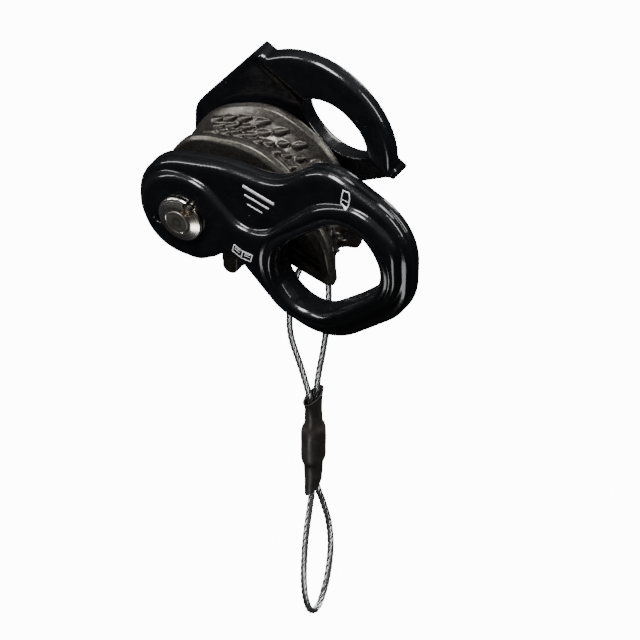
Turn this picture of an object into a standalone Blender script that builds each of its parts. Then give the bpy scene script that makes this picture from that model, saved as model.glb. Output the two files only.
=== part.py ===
"""Toothed-cam rope clamp: two side plates on one axle, a sprung cam between them, and a wire release loop.

The sizes below are in millimetres and degrees. The clamp is drawn about its axle: X runs from the axle
to the karabiner eye, depth runs from the front plate's face to the back of the shell (+Y), and Z is up.
The row frame's origin is the middle of the front plate's eye, where the clamp hangs.
"""
import math

import bmesh
import bpy
from mathutils import Matrix, Vector

MM = 0.001

# Places seen from the front, from the axle.
EYE_CENTRE = (42.0, 1.7)
CABLE_EXIT = (27.2, -10.2)
STOP_PIN_PLACE = (12.7, 4.6)

# The stack along the axle, as depths from the face of the front plate.
PAD_FACE = 0.0
PLATE_FACE = 2.0
PLATE_BACK = 8.0
CAM_FRONT = 9.5
CAM_BACK = 23.7
FLANGE_FRONT = 9.8
FLANGE_BACK = 13.6
SHELL_INSIDE = 25.0
SHELL_BACK = 30.0
EYE_DEPTH = 4.0

# How the shell sits on the axle at rest: swung open, and its rope channel leans from upright.
CHANNEL_LEAN = 25.0
SHELL_OPEN = 37.0

# Turned pieces on the axle.
AXLE_RADIUS = 4.0
AXLE_TIP_RADIUS = 3.05
RUNNING_GAP = 0.10
SEAT_GAP = 0.20
COLLAR_RADIUS = 6.2
COLLAR_HEIGHT = 2.2
COLLAR_PIN_REACH = 5.1
COLLAR_PIN_ANGLE = 60.0
COLLAR_PIN_RADIUS = 0.8
WASHER_RADIUS = 6.2
BUSH_RADIUS = 5.0
SPRING_RADIUS = 7.5
SPRING_WIRE = 1.2
SPRING_TURNS = 3
SPRING_LEG_ANGLE = -153.0
STOP_PIN_RADIUS = 1.5
CAM_TRAVEL = 50.0

# The wire release loop.
WIRE_RADIUS = 0.7
CABLE_ARCH = 4.0
CABLE_WAY = 2.8
CABLE_SWING_ROOM = 4.3
FERRULE_TOP = -66.0
FERRULE_BOTTOM = -76.0
SLEEVE_TOP = -56.4
SLEEVE_BOTTOM = -86.2
CABLE_DEPTH = 17.4
STRAND_SPACING = 1.9

# Outlines seen from the front: (x, z, corner radius), anticlockwise.
PLATE_OUTLINE = [
    (-13.7, -13.2, 12.2), (6.0, -13.2, 8.0), (13.7, -5.4, 6.4), (28.8, -20.3, 12.0), (41.8, -23.4, 17.0),
    (64.0, -4.2, 19.0), (64.6, 20.9, 16.0), (38.2, 31.7, 12.0), (25.0, 18.9, 16.0), (9.0, 18.5, 38.0),
    (-14.6, 11.7, 14.6),
]
PAD_OUTLINE = [
    (-12.0, -12.0, 11.5), (5.6, -12.0, 7.5), (13.7, -4.2, 6.0), (28.4, -17.8, 11.0), (40.2, -19.2, 14.0),
    (62.2, 0.8, 14.0), (61.8, 17.5, 9.0), (50.5, 24.2, 12.0), (38.5, 20.6, 20.0), (24.6, 5.6, 12.0),
    (17.2, 2.1, 8.3), (5.4, 12.3, 11.0), (-12.0, 11.9, 11.4),
]
EYE_LENGTH = 34.3
EYE_WIDTH = 19.0
EYE_SIDE_SWELL = 0.8
EYE_SIDE_RADIUS = 60.0
EYE_TILT = 42.0
EYE_MIDDLE = (41.6, 1.3)
EYE_ROUNDS = (8.5, 11.2, 8.0, 11.0)

# The shell's outlines, in the shell's own directions: out from the axle, and up the rope.
SHELL_OUTLINE = [
    (-12.4, -13.4, 12.0), (4.0, -14.4, 12.0), (36.0, -33.4, 8.0), (53.4, -34.8, 1.5), (53.7, -33.0, 0.5),
    (62.7, -28.0, 22.3), (68.7, -12.2, 22.3), (62.7, 3.6, 22.3), (53.7, 8.6, 0.5), (53.4, 10.5, 1.5),
    (6.0, 16.8, 7.0), (-12.4, 7.2, 9.0),
]
SHELL_SECTION = [
    (-17.0, SHELL_INSIDE, 0.2), (34.0, SHELL_INSIDE, 6.0), (52.0, FLANGE_FRONT, 0.5),
    (72.0, FLANGE_FRONT, 0.2), (72.0, FLANGE_BACK, 0.2), (55.0, FLANGE_BACK, 2.5),
    (36.0, SHELL_BACK, 6.0), (-17.0, SHELL_BACK, 0.2),
]
SHELL_EYE_CENTRE = (42.3, -15.0)
SHELL_EYE_LENGTH = 29.8
SHELL_EYE_WIDTH = 21.4
SHELL_EYE_TILT = -11.0
SHELL_EYE_ROUNDS = (10.6, 10.6, 10.6, 10.6)

# The cam's flange outline at rest, and how far the groove is sunk at each depth across its width.
CAM_OUTLINE = [
    (-11.6, -11.4, 10.8), (5.2, -11.6, 2.2), (6.0, -20.6, 1.9), (10.0, -20.6, 1.9), (10.2, -10.6, 1.6),
    (24.0, -10.0, 6.0), (37.9, -13.6, 1.8), (37.2, 4.1, 28.0), (29.0, 20.1, 25.0), (12.0, 26.5, 17.5),
    (-5.0, 18.0, 25.0), (-12.4, 4.0, 15.0),
]
CAM_HEEL_DEPTH = 13.5
HEEL_CUT = [(-6.0, -30.0, 1.0), (20.0, -30.0, 1.0), (20.0, -14.6, 1.0), (-6.0, -14.6, 1.0)]
DEEPEST_SINK = 6.0
NEAR_FLANGE_DROP = 4.4
FAR_TIP_RISE = 5.0
GROOVE = [(0.0, 0.8), (0.06, 0.0), (0.15, 0.1), (0.26, 1.5), (0.38, 2.6), (0.5, 3.0), (0.62, 2.6), (0.74, 1.5),
          (0.85, 0.1), (0.94, 0.0), (1.0, 0.8)]
TOOTH_ROWS = (0.29, 0.43, 0.57, 0.70)
TOOTH_COLUMNS = 10
TOOTH_FIRST = -7.0
TOOTH_STEP = 10.6
TOOTH_AIM = 34.0
TOOTH_FAN = 0.22
TOOTH_LENGTH = 3.5
TOOTH_ROOT = 1.6
TOOTH_RADIUS = 1.6
TOOTH_TIP_RADIUS = 0.16
WEB_POCKET = [
    (17.0, -6.6, 1.5), (24.0, -6.2, 2.0), (34.4, -9.4, 1.2), (33.0, -3.0, 3.0), (26.0, 5.4, 3.0), (18.0, 4.4, 2.5),
]
WEB_POCKET_DEPTH = 2.0

MATERIALS = {
    "black_coated_alloy": ((0.012, 0.013, 0.016, 1.0), 0.28, 0.35),
    "cast_steel": ((0.22, 0.205, 0.185, 1.0), 0.42, 0.95),
    "bright_steel": ((0.62, 0.60, 0.56, 1.0), 0.24, 1.0),
    "dark_steel": ((0.14, 0.135, 0.125, 1.0), 0.45, 0.9),
    "bronze": ((0.45, 0.30, 0.14, 1.0), 0.38, 0.9),
    "galvanised_wire": ((0.50, 0.51, 0.52, 1.0), 0.38, 0.9),
    "heat_shrink": ((0.020, 0.016, 0.014, 1.0), 0.55, 0.0),
}


def clear_scene():
    for obj in list(bpy.data.objects):
        bpy.data.objects.remove(obj, do_unlink=True)


def make_collection(name):
    collection = bpy.data.collections.new(name)
    bpy.context.scene.collection.children.link(collection)
    return collection


def make_material(name):
    colour, roughness, metallic = MATERIALS[name]
    material = bpy.data.materials.new(name)
    material.use_nodes = True
    shader = material.node_tree.nodes["Principled BSDF"]
    shader.inputs["Base Color"].default_value = colour
    shader.inputs["Roughness"].default_value = roughness
    shader.inputs["Metallic"].default_value = metallic
    return material


def make_empty(name, collection, parent=None, place=(0.0, 0.0, 0.0), turn_y=0.0):
    empty = bpy.data.objects.new(name, None)
    collection.objects.link(empty)
    empty.parent = parent
    empty.location = Vector(place) * MM
    empty.rotation_euler.y = math.radians(turn_y)
    return empty


def add_object(name, mesh, group, parent, material=None, smooth=True):
    obj = bpy.data.objects.new(name, mesh)
    group.objects.link(obj)
    obj.parent = parent
    if material:
        mesh.materials.append(material)
    if smooth:
        mesh.shade_smooth()
        mesh.set_sharp_from_angle(angle=math.radians(35.0))
    return obj


def hide_cutter(obj):
    obj.hide_render = True
    obj.display_type = "WIRE"
    return obj


def cut(obj, cutter, operation="DIFFERENCE"):
    modifier = obj.modifiers.new(operation.title() + "_" + cutter.name, "BOOLEAN")
    modifier.operation = operation
    modifier.solver = "EXACT"
    modifier.object = cutter


# Flat outlines with rounded corners.

def move_edges_in(corners, inset):
    """The outline with every edge moved in, so a rounded corner keeps its centre."""
    moved = []
    for i, (x, z, radius) in enumerate(corners):
        here = Vector((x, z))
        before = (here - Vector(corners[i - 1][:2])).normalized()
        after = (Vector(corners[(i + 1) % len(corners)][:2]) - here).normalized()
        turn = before.x * after.y - before.y * after.x
        normal_before = Vector((-before.y, before.x))
        point = here + inset * normal_before - before * inset * _along(before, after, turn)
        new_radius = radius - inset if turn > 0 else radius + inset
        moved.append((point.x, point.y, max(new_radius, 0.05)))
    return moved


def _along(before, after, turn):
    """How far along its incoming edge a corner moves for each millimetre that both edges move in."""
    half_turn = math.atan2(turn, before.dot(after)) / 2
    return math.tan(half_turn)


def rounded(corners, inset=0.0, steps=8):
    """Points round an outline, with the same number on each corner's arc."""
    points = []
    corners = move_edges_in(corners, inset) if inset else corners
    for i, (x, z, radius) in enumerate(corners):
        here = Vector((x, z))
        before = (here - Vector(corners[i - 1][:2])).normalized()
        after = (Vector(corners[(i + 1) % len(corners)][:2]) - here).normalized()
        turn = math.atan2(before.x * after.y - before.y * after.x, before.dot(after))
        side = math.copysign(1.0, turn)
        start = here - before * radius * abs(math.tan(turn / 2))
        centre = start + Vector((-before.y, before.x)) * radius * side
        arm = start - centre
        for k in range(steps + 1):
            spin = turn * k / steps
            points.append(centre + Matrix.Rotation(spin, 2) @ arm)
    return points


def eye_corners(centre, length, width, tilt, rounds):
    """Corners with their radii, anticlockwise from the one nearest the axle and the ground, and a slight
    swell in the middle of each long side."""
    lengthwise = Vector((math.cos(math.radians(tilt)), math.sin(math.radians(tilt))))
    across = Vector((-lengthwise.y, lengthwise.x))
    first, second, third, fourth = rounds
    swollen = 1 + 2 * EYE_SIDE_SWELL / width
    layout = [
        (-1, -1, first), (0, -swollen, EYE_SIDE_RADIUS), (1, -1, second), (1, 1, third), (0, swollen, EYE_SIDE_RADIUS),
        (-1, 1, fourth),
    ]
    corners = []
    for a, b, corner in layout:
        place = Vector(centre) + lengthwise * a * length / 2 + across * b * width / 2
        corners.append((place.x, place.y, corner))
    return corners


def turned_point(place, angle):
    spin = Matrix.Rotation(math.radians(angle), 2)
    return spin @ Vector(place)


# Solids.

def loft(name, rings):
    """A solid through closed rings of equal length, each (depth, points seen from the front)."""
    mesh = bpy.data.meshes.new(name)
    shape = bmesh.new()
    loops = []
    for depth, points in rings:
        loops.append([shape.verts.new((p[0] * MM, depth * MM, p[1] * MM)) for p in points])
    count = len(loops[0])
    for low, high in zip(loops, loops[1:]):
        for i in range(count):
            j = (i + 1) % count
            shape.faces.new((low[i], low[j], high[j], high[i]))
    shape.faces.new(list(reversed(loops[0])))
    shape.faces.new(loops[-1])
    bmesh.ops.recalc_face_normals(shape, faces=shape.faces)
    bmesh.ops.triangulate(shape, faces=[f for f in shape.faces if len(f.verts) > 4])
    shape.to_mesh(mesh)
    shape.free()
    return mesh


def outline_solid(name, corners, profile, steps=8):
    """A plate whose edge follows a profile of (depth, inset) pairs."""
    return loft(name, [(depth, rounded(corners, inset, steps)) for depth, inset in profile])


def drum(name, place, radius, front, back, sides=48):
    """A cylinder across the clamp, from one depth to another."""
    mesh = bpy.data.meshes.new(name)
    shape = bmesh.new()
    bmesh.ops.create_cone(
        shape, cap_ends=True, segments=sides, radius1=radius * MM, radius2=radius * MM, depth=(back - front) * MM)
    place_mesh = Matrix.Translation(Vector((place[0], (front + back) / 2, place[1])) * MM)
    bmesh.ops.transform(shape, matrix=place_mesh @ Matrix.Rotation(-math.pi / 2, 4, "X"), verts=shape.verts)
    shape.to_mesh(mesh)
    shape.free()
    return mesh


def turned(name, profile, group, parent, material, sides=48):
    """A piece turned about the axle: a closed profile of (radius, depth), run down its outer side first."""
    mesh = bpy.data.meshes.new(name)
    verts = [(radius * MM, 0.0, -depth * MM) for radius, depth in profile]
    count = len(verts)
    mesh.from_pydata(verts, [(i, (i + 1) % count) for i in range(count)], [])
    obj = bpy.data.objects.new(name, mesh)
    group.objects.link(obj)
    obj.parent = parent
    obj.rotation_euler.x = math.pi / 2
    mesh.materials.append(material)
    screw = obj.modifiers.new("Turn", "SCREW")
    screw.steps = sides
    screw.render_steps = sides
    screw.use_merge_vertices = True
    screw.merge_threshold = 0.00001
    return obj


def ring_profile(inner, outer, front, back, chamfer=0.0):
    """A washer or bush as a closed profile."""
    return [
        (outer - chamfer, front), (outer, front + chamfer), (outer, back - chamfer), (outer - chamfer, back),
        (inner, back), (inner, front),
    ]


def wire_along(name, points, radius, group, parent, material, bevel_resolution=2):
    """A wire or tube along points of (x, depth, z)."""
    curve = bpy.data.curves.new(name, "CURVE")
    curve.dimensions = "3D"
    spline = curve.splines.new("POLY")
    spline.points.add(len(points) - 1)
    for slot, (x, depth, z) in zip(spline.points, points):
        slot.co = (x * MM, depth * MM, z * MM, 1.0)
    curve.bevel_depth = radius * MM
    curve.bevel_resolution = bevel_resolution
    curve.use_fill_caps = True
    obj = bpy.data.objects.new(name, curve)
    group.objects.link(obj)
    obj.parent = parent
    curve.materials.append(material)
    return obj


def smooth_route(controls, spacing):
    """Evenly spaced points on a smooth curve through the control points."""
    dense = []
    knots = [controls[0], *controls, controls[-1]]
    for p0, p1, p2, p3 in zip(knots, knots[1:], knots[2:], knots[3:]):
        a, b, c, d = (Vector(p) for p in (p0, p1, p2, p3))
        for k in range(12):
            t = k / 12
            dense.append(0.5 * (2 * b + (c - a) * t + (2 * a - 5 * b + 4 * c - d) * t ** 2
                                + (3 * b - a - 3 * c + d) * t ** 3))
    dense.append(Vector(controls[-1]))
    route = [dense[0]]
    travelled = 0.0
    for here, there in zip(dense, dense[1:]):
        travelled += (there - here).length
        if travelled >= spacing:
            route.append(there)
            travelled = 0.0
    if (route[-1] - dense[-1]).length > spacing * 0.4:
        route.append(dense[-1])
    else:
        route[-1] = dense[-1]
    return route


# The plates.

def build_front_plate(group, cutters, root, material):
    base = outline_solid("front_plate", PLATE_OUTLINE, [
        (PLATE_FACE, 1.8), (PLATE_FACE + 0.45, 0.7), (PLATE_FACE + 1.6, 0.0),
        (PLATE_BACK - 0.8, 0.0), (PLATE_BACK, 0.8)])
    plate = add_object("front_plate", base, group, root, material)
    pad = outline_solid("pad", PAD_OUTLINE, [
        (PAD_FACE, 1.3), (PAD_FACE + 0.5, 0.4), (PAD_FACE + 1.4, 0.0), (PLATE_FACE + 2.0, -0.1)])
    cut(plate, hide_cutter(add_object("pad_shape", pad, cutters, root)), "UNION")
    corners = eye_corners(EYE_MIDDLE, EYE_LENGTH, EYE_WIDTH, EYE_TILT, EYE_ROUNDS)
    eye = outline_solid("eye_cutter", corners, [
        (-0.3, -2.1), (0.3, -1.0), (1.4, -0.2), (3.0, 0.0), (6.2, 0.0), (7.5, -0.6), (8.2, -1.5)])
    cut(plate, hide_cutter(add_object("eye_cutter", eye, cutters, root)))
    bore = drum("axle_bore", (0, 0), AXLE_RADIUS + RUNNING_GAP, -1, 9)
    cut(plate, hide_cutter(add_object("axle_bore", bore, cutters, root)))
    leg = turned_point((SPRING_RADIUS, 0), SPRING_LEG_ANGLE)
    leg_hole = drum("spring_leg_hole", leg, SPRING_WIRE / 2 + 0.5, -1, 9, 20)
    cut(plate, hide_cutter(add_object("spring_leg_hole", leg_hole, cutters, root)))
    pin_hole = drum("stop_pin_hole", STOP_PIN_PLACE, STOP_PIN_RADIUS + RUNNING_GAP, 4.0, 9, 24)
    cut(plate, hide_cutter(add_object("stop_pin_hole", pin_hole, cutters, root)))
    lock_hole = drum("lock_pin_hole", collar_pin_place(), COLLAR_PIN_RADIUS + RUNNING_GAP, -1, 5.0, 20)
    cut(plate, hide_cutter(add_object("lock_pin_hole", lock_hole, cutters, root)))
    return plate


def build_back_shell(group, cutters, pivot, material):
    outline = outline_solid("back_shell", SHELL_OUTLINE, [
        (FLANGE_FRONT - 0.1, 1.3), (FLANGE_FRONT + 0.4, 0.5), (FLANGE_FRONT + 1.4, 0.0),
        (SHELL_BACK - 1.4, 0.0), (SHELL_BACK - 0.4, 0.5), (SHELL_BACK + 0.1, 1.3)])
    shell = add_object("back_shell", outline, group, pivot, material)
    section = section_prism("shell_section", SHELL_SECTION, -40.0, 22.0)
    cut(shell, hide_cutter(add_object("shell_section", section, cutters, pivot)), "INTERSECT")
    corners = eye_corners(SHELL_EYE_CENTRE, SHELL_EYE_LENGTH, SHELL_EYE_WIDTH, SHELL_EYE_TILT, SHELL_EYE_ROUNDS)
    eye = outline_solid("shell_eye_cutter", corners, [
        (FLANGE_FRONT - 0.5, -1.2), (FLANGE_FRONT + 0.2, -0.5), (FLANGE_FRONT + 1.0, 0.0),
        (SHELL_BACK - 1.2, 0.0), (SHELL_BACK - 0.2, -0.8), (SHELL_BACK + 0.5, -1.8)])
    cut(shell, hide_cutter(add_object("shell_eye_cutter", eye, cutters, pivot)))
    bore = drum("shell_bore", (0, 0), BUSH_RADIUS + RUNNING_GAP, SHELL_INSIDE - 1, SHELL_BACK + 1)
    cut(shell, hide_cutter(add_object("shell_bore", bore, cutters, pivot)))
    return shell


def section_prism(name, corners, low, high):
    """The shell's bent section, drawn out from the axle against depth, run up and down the rope."""
    points = rounded(corners, 0.0, 6)
    mesh = loft(name, [(low, points), (high, points)])
    for vertex in mesh.vertices:
        out, up, depth = vertex.co.x, vertex.co.y, vertex.co.z
        vertex.co = (out, depth, up)
    mesh.flip_normals()
    return mesh


# The cam.

def ease(value):
    value = min(max(value, 0.0), 1.0)
    return value * value * (3 - 2 * value)


def groove_weight(angle):
    """1 where the rope bears on the cam, 0 round its heel and underside."""
    return ease((angle + 24.0) / 5.0) * ease((170.0 - angle) / 32.0)


def near_drop_weight(angle):
    """How much lower the near flange is than the far one: level with it at the tip, lowest at mid-arc."""
    return ease((angle + 14.0) / 30.0) * ease((112.0 - angle) / 52.0)


def cam_ring(share, sink):
    """The cam's outline at a share of its width, with its groove sunk that far."""
    flange = rounded(CAM_OUTLINE, 0.0, 8)
    deepest = rounded(CAM_OUTLINE, DEEPEST_SINK, 8)
    points = []
    for outer, inner in zip(flange, deepest):
        angle = math.degrees(math.atan2(outer.y, outer.x))
        drop = NEAR_FLANGE_DROP * (1 - share) * near_drop_weight(angle)
        point = outer.lerp(inner, (sink * groove_weight(angle) + drop) / DEEPEST_SINK)
        point.y += FAR_TIP_RISE * share * ease((outer.x - 22.0) / 12.0) * ease((6.0 - angle) / 16.0)
        points.append(point)
    return points


def build_cam(group, cutters, pivot, material):
    width = CAM_BACK - CAM_FRONT
    rings = [(CAM_FRONT + width * share, cam_ring(share, sink)) for share, sink in GROOVE]
    cam = add_object("cam", loft("cam", rings), group, pivot, material)
    heel = outline_solid("heel_cutter", HEEL_CUT, [(CAM_HEEL_DEPTH, 0), (CAM_BACK + 1, 0)], 4)
    cut(cam, hide_cutter(add_object("heel_cutter", heel, cutters, pivot)))
    bore = drum("cam_bore", (0, 0), BUSH_RADIUS + RUNNING_GAP, CAM_FRONT - 1, CAM_BACK + 1)
    cut(cam, hide_cutter(add_object("cam_bore", bore, cutters, pivot)))
    pocket = drum("spring_pocket", (0, 0), SPRING_RADIUS + 1.3, CAM_FRONT - 1, CAM_FRONT + 5.0)
    cut(cam, hide_cutter(add_object("spring_pocket", pocket, cutters, pivot)))
    web = outline_solid("web_pocket", WEB_POCKET, [(CAM_FRONT - 1, 0), (CAM_FRONT + WEB_POCKET_DEPTH, 0)], 4)
    cut(cam, hide_cutter(add_object("web_pocket", web, cutters, pivot)))
    cut(cam, hide_cutter(add_object("cable_way", cable_way_mesh(), cutters, pivot)))
    cut(cam, hide_cutter(add_object("stop_slot", slot_mesh(), cutters, pivot)))
    for row in range(len(TOOTH_ROWS)):
        cut(cam, hide_cutter(add_object(f"cam_teeth_{row + 1}", teeth_mesh(row), cutters, pivot)), "UNION")
    return cam


def cable_way_mesh():
    """The arched way that the wire takes over a bridge left in the cam's underside."""
    sides = 20
    wide = []
    for radius in (CABLE_ARCH - CABLE_WAY / 2, CABLE_ARCH + CABLE_WAY / 2):
        turn = [math.pi * k / sides for k in range(sides + 1)]
        if radius > CABLE_ARCH:
            turn.reverse()
        wide += [Vector((CABLE_DEPTH + radius * math.cos(a), CABLE_EXIT[1] + radius * math.sin(a))) for a in turn]
        if radius < CABLE_ARCH:
            wide += [Vector((CABLE_DEPTH - radius, -30.0)), Vector((CABLE_DEPTH - radius - CABLE_WAY, -30.0))]
    wide += [Vector((CABLE_DEPTH + CABLE_ARCH + CABLE_WAY / 2, -30.0)),
             Vector((CABLE_DEPTH + CABLE_ARCH - CABLE_WAY / 2, -30.0))]
    mesh = loft("cable_way", [(CABLE_EXIT[0] - CABLE_SWING_ROOM, wide), (CABLE_EXIT[0] + CABLE_SWING_ROOM, wide)])
    for vertex in mesh.vertices:
        depth, x, z = vertex.co
        vertex.co = (x, depth, z)
    mesh.flip_normals()
    return mesh


def slot_mesh():
    """The arc slot that runs over the stop pin as the cam turns."""
    reach = Vector(STOP_PIN_PLACE).length
    start = math.degrees(math.atan2(STOP_PIN_PLACE[1], STOP_PIN_PLACE[0]))
    half = STOP_PIN_RADIUS + 0.35
    points = []
    steps = 14
    for k in range(steps + 1):
        points.append(turned_point((reach + half, 0), start + CAM_TRAVEL * k / steps))
    for k in range(1, 8):
        end = turned_point((reach, 0), start + CAM_TRAVEL)
        points.append(end + turned_point((half, 0), start + CAM_TRAVEL + 180 * k / 8))
    for k in range(steps + 1):
        points.append(turned_point((reach - half, 0), start + CAM_TRAVEL * (1 - k / steps)))
    for k in range(1, 8):
        end = turned_point((reach, 0), start)
        points.append(end + turned_point((half, 0), start + 180 + 180 * k / 8))
    return loft("stop_slot", [(CAM_FRONT - 1, points), (CAM_FRONT + 2.6, points)])


def point_on_groove(angle, share):
    """Where a ray from the axle leaves the groove, at a share of the cam's width."""
    sink = 0.0
    for (low, sink_low), (high, sink_high) in zip(GROOVE, GROOVE[1:]):
        if low <= share <= high:
            sink = sink_low + (sink_high - sink_low) * (share - low) / (high - low)
    ring = cam_ring(share, sink)
    heading = turned_point((1, 0), angle)
    reach = 0.0
    for here, there in zip(ring, ring[1:] + ring[:1]):
        edge = there - here
        slope = heading.x * edge.y - heading.y * edge.x
        if abs(slope) < 1e-9:
            continue
        along = (here.x * edge.y - here.y * edge.x) / slope
        share_of_edge = (here.x * heading.y - here.y * heading.x) / slope
        if along > reach and 0.0 <= share_of_edge <= 1.0:
            reach = along
    return heading * reach


def teeth_mesh(row):
    """One row of conical teeth. They all point nearly the same way, as a mould draws them."""
    share = TOOTH_ROWS[row]
    depth = CAM_FRONT + (CAM_BACK - CAM_FRONT) * share
    mesh = bpy.data.meshes.new("cam_teeth")
    shape = bmesh.new()
    for column in range(TOOTH_COLUMNS):
        angle = TOOTH_FIRST + TOOTH_STEP * (column + 0.5 * (row % 2))
        base = point_on_groove(angle, share)
        aim = turned_point((1, 0), TOOTH_AIM + TOOTH_FAN * (angle - TOOTH_AIM))
        heading = Vector((aim.x, 0, aim.y))
        spin = Vector((0, 0, 1)).rotation_difference(heading).to_matrix().to_4x4()
        middle = Vector((base.x, depth, base.y)) + heading * (TOOTH_LENGTH / 2 - TOOTH_ROOT)
        bmesh.ops.create_cone(
            shape, cap_ends=True, segments=9, radius1=TOOTH_RADIUS * MM, radius2=TOOTH_TIP_RADIUS * MM,
            depth=TOOTH_LENGTH * MM, matrix=Matrix.Translation(middle * MM) @ spin)
    shape.to_mesh(mesh)
    shape.free()
    return mesh


# The axle and what runs on it.

def collar_pin_place():
    return turned_point((COLLAR_PIN_REACH, 0), COLLAR_PIN_ANGLE)


def build_axle(group, cutters, root, materials):
    rear_head = SHELL_BACK + 0.3
    tip = -COLLAR_HEIGHT
    turned("axle_pin", [
        (0.0, tip), (AXLE_TIP_RADIUS - 0.25, tip), (AXLE_TIP_RADIUS, tip + 0.25), (AXLE_TIP_RADIUS, -0.1),
        (AXLE_RADIUS, -0.1), (AXLE_RADIUS, rear_head + 0.1), (AXLE_TIP_RADIUS, rear_head + 0.1),
        (AXLE_TIP_RADIUS, rear_head + 1.7), (AXLE_TIP_RADIUS - 0.25, rear_head + 1.95), (0.0, rear_head + 1.95),
    ], group, root, materials["dark_steel"])
    inner = AXLE_TIP_RADIUS + RUNNING_GAP
    collar = turned("axle_collar", [
        (inner + 0.25, tip + 0.1), (COLLAR_RADIUS, -0.6), (COLLAR_RADIUS, -0.3), (inner, -0.3), (inner, tip + 0.35),
    ], group, root, materials["bright_steel"])
    recess = drum("collar_recess", collar_pin_place(), 1.7, -4.0, 1.0, 24)
    cut(collar, hide_cutter(add_object("collar_recess", recess, cutters, root)))
    pin = drum("collar_pin", collar_pin_place(), COLLAR_PIN_RADIUS, -1.3, 4.6, 20)
    add_object("collar_pin", pin, group, root, materials["bright_steel"])
    turned("rear_collar", [
        (COLLAR_RADIUS + 0.4, rear_head), (COLLAR_RADIUS + 0.4, rear_head + 0.4), (inner + 0.6, rear_head + 1.8),
        (inner, rear_head + 1.8), (inner, rear_head + 0.3), (AXLE_RADIUS + 0.2, rear_head + 0.3),
        (AXLE_RADIUS + 0.2, rear_head),
    ], group, root, materials["bright_steel"])
    stop = drum("cam_stop_pin", STOP_PIN_PLACE, STOP_PIN_RADIUS, 4.3, CAM_FRONT + 2.2, 24)
    add_object("cam_stop_pin", stop, group, root, materials["dark_steel"])


def build_washers_and_bushes(group, root, cam_pivot, shell_pivot, materials):
    bore = AXLE_RADIUS + RUNNING_GAP
    front = ring_profile(bore, WASHER_RADIUS, PLATE_BACK + SEAT_GAP, CAM_FRONT - SEAT_GAP, 0.15)
    turned("front_thrust_washer", front, group, root, materials["bronze"])
    rear = ring_profile(bore, WASHER_RADIUS + 3.0, CAM_BACK + SEAT_GAP, SHELL_INSIDE - SEAT_GAP, 0.15)
    turned("rear_thrust_washer", rear, group, root, materials["bronze"])
    cam_bush = ring_profile(bore, BUSH_RADIUS, CAM_FRONT + 0.1, CAM_BACK - 0.1, 0.2)
    turned("cam_bush", cam_bush, group, cam_pivot, materials["bronze"])
    shell_bush = ring_profile(bore, BUSH_RADIUS, SHELL_INSIDE + 0.1, SHELL_BACK - 0.1, 0.2)
    turned("shell_bush", shell_bush, group, shell_pivot, materials["bronze"])


def build_spring(group, root, material):
    """Coils in the cam's pocket, with one leg forward through the front plate."""
    first = CAM_FRONT + 0.9
    pitch = SPRING_WIRE + 0.15
    per_turn = 16
    leg = turned_point((SPRING_RADIUS, 0), SPRING_LEG_ANGLE)
    points = [(leg.x, depth, leg.y) for depth in (1.6, 5.0, 8.6)]
    for k in range(SPRING_TURNS * per_turn - 6):
        place = turned_point((SPRING_RADIUS, 0), SPRING_LEG_ANGLE - 360 * k / per_turn)
        points.append((place.x, first + pitch * k / per_turn, place.y))
    wire_along("cam_spring", points, SPRING_WIRE / 2, group, root, material)


# The release loop.

def cable_route():
    """From inside the ferrule up the front strand, through the cam, down the rear strand, through the
    ferrule and round the finger loop, back into the ferrule."""
    x, z = CABLE_EXIT
    front, rear = CABLE_DEPTH - STRAND_SPACING / 2, CABLE_DEPTH + STRAND_SPACING / 2
    middle = 27.1
    up = [
        (middle, front, -70.6), (middle, front, -64.0), (26.8, front - 0.2, -57.0), (25.5, 14.6, -47.0),
        (23.9, 12.5, -36.5), (23.6, 12.0, -29.5), (24.0, 12.3, -22.0), (25.2, 12.9, -16.0),
    ]
    arch = []
    for k in range(7):
        turn = math.pi * (1 - k / 6)
        arch.append((x, CABLE_DEPTH + CABLE_ARCH * math.cos(turn), z + CABLE_ARCH * math.sin(turn)))
    down = [
        (27.9, 21.5, -17.0), (28.8, 21.6, -25.0), (28.8, 21.1, -34.0), (28.2, 20.2, -43.0),
        (27.5, 19.0, -51.0), (middle, rear + 0.1, -58.0), (middle, rear, -64.0), (middle, rear, -76.0),
    ]
    loop = [
        (27.4, rear + 0.1, -85.0), (27.8, 20.6, -92.0), (28.0, 22.9, -100.0), (28.1, 23.6, -108.0),
        (28.1, 22.2, -116.0), (28.1, 19.4, -121.6), (28.1, 16.6, -123.2), (28.1, 13.8, -120.8),
        (28.0, 12.0, -114.6), (28.0, 11.6, -107.0), (27.9, 12.6, -98.0), (27.7, 14.6, -90.6),
        (27.4, front - 0.1, -85.0), (27.1, front, -78.0), (27.0, front, -71.6),
    ]
    return up + arch + down + loop


def oval(half_x, half_depth, count=28):
    """Points round an oval that lies level, as (x, depth)."""
    angles = [2 * math.pi * k / count for k in range(count)]
    return [(half_x * math.cos(a), half_depth * math.sin(a)) for a in angles]


def level_loft(name, sections, place, count=28):
    """A solid or cutter through level ovals, each (height, half x, half depth)."""
    rings = [(height, [Vector(p) for p in oval(hx, hd, count)]) for height, hx, hd in sections]
    mesh = loft(name, rings)
    for vertex in mesh.vertices:
        x, height, depth = vertex.co
        vertex.co = (x + place[0] * MM, depth + place[1] * MM, height)
    shape = bmesh.new()
    shape.from_mesh(mesh)
    bmesh.ops.recalc_face_normals(shape, faces=shape.faces)
    shape.to_mesh(mesh)
    shape.free()
    return mesh


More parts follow.
